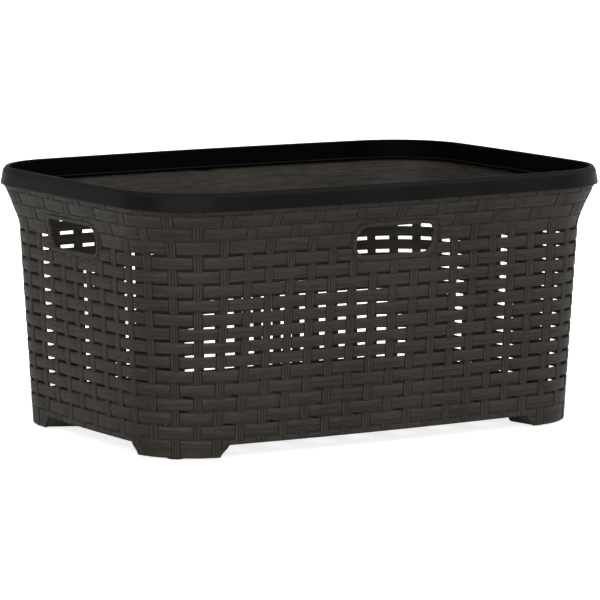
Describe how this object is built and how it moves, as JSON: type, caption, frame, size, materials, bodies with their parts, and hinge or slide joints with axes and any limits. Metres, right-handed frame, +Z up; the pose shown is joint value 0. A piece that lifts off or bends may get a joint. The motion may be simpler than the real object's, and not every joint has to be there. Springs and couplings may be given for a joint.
{
  "type": "laundry basket",
  "caption": "Moulded rattan-effect laundry basket with hand holds, corner feet and a separate top rim.",
  "frame": {"origin": "centre of the footprint on the ground plane", "axes": "+X along the long sides, +Y along the short sides, +Z up"},
  "size_m": [0.5914, 0.438, 0.2824],
  "materials": {
    "body_plastic": "matte moulded brown",
    "rim_plastic": "satin black"
  },
  "bodies": {
    "root": {"basket_body": "body_plastic", "rim": "rim_plastic"}
  },
  "joints": []
}
